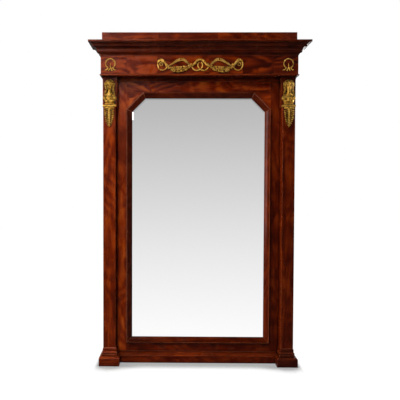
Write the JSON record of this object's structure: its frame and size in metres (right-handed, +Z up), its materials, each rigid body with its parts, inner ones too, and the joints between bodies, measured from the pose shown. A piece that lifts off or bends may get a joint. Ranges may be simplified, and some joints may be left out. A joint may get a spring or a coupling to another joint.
{
  "type": "pier mirror",
  "caption": "Tall standing wall mirror: mahogany case with pilasters, cornice and gilt bronze mounts round a plate with canted upper corners.",
  "frame": {"origin": "centre of the footprint box, on the floor, half way between the wall plane and the front of the cornice", "axes": "+Z up, -Y out of the mirror's face towards the viewer, +Y into the wall, +X to the viewer's right"},
  "size_m": [1.186, 0.188, 1.8175],
  "materials": {
    "mahogany": "French polished flame veneer",
    "softwood": "planed and stained",
    "gilt_bronze": "matt and burnished gilding",
    "brass": "dull",
    "mirror": "silvered behind, polished",
    "steel": "plain"
  },
  "bodies": {
    "root": {"abacus_left": "mahogany", "abacus_right": "mahogany", "architrave_strip": "mahogany", "attic_front": "mahogany", "attic_return_left": "mahogany", "attic_return_right": "mahogany", "attic_top_board": "softwood", "back_boards": "softwood", "base_course_left": "mahogany", "base_course_right": "mahogany", "base_rail": "mahogany", "base_rail_moulding": "mahogany", "bed_mouldings": "mahogany", "bottom_rail": "mahogany", "bust_block_left": "mahogany", "bust_block_right": "mahogany", "bust_left": "gilt_bronze", "bust_right": "gilt_bronze", "bust_shelf_left": "gilt_bronze", "bust_shelf_right": "gilt_bronze", "corner_piece_left": "mahogany", "corner_piece_right": "mahogany", "cornice_board": "softwood", "crown_moulding_front": "mahogany", "crown_moulding_left": "mahogany", "crown_moulding_right": "mahogany", "festoon_mount": "gilt_bronze", "frieze_foot_fillets": "mahogany", "frieze_front": "mahogany", "frieze_return_left": "mahogany", "frieze_return_right": "mahogany", "glazing_blocks": "softwood", "glue_blocks": "softwood", "leaf_drop_left": "gilt_bronze", "leaf_drop_right": "gilt_bronze", "mirror_plate": "mirror", "pilaster_front_left": "mahogany", "pilaster_front_right": "mahogany", "pilaster_inner_side_left": "mahogany", "pilaster_inner_side_right": "mahogany", "pilaster_outer_side_left": "mahogany", "pilaster_outer_side_right": "mahogany", "plinth_block_left": "mahogany", "plinth_block_right": "mahogany", "rear_board": "softwood", "sight_moulding_bottom": "mahogany", "sight_moulding_cant_left": "mahogany", "sight_moulding_cant_right": "mahogany", "sight_moulding_left": "mahogany", "sight_moulding_right": "mahogany", "sight_moulding_top": "mahogany", "soffit_board": "softwood", "stile_left": "mahogany", "stile_right": "mahogany", "top_rail": "mahogany", "wall_plates": "brass", "wood_screws": "steel", "wreath_left": "gilt_bronze", "wreath_right": "gilt_bronze"}
  },
  "joints": []
}
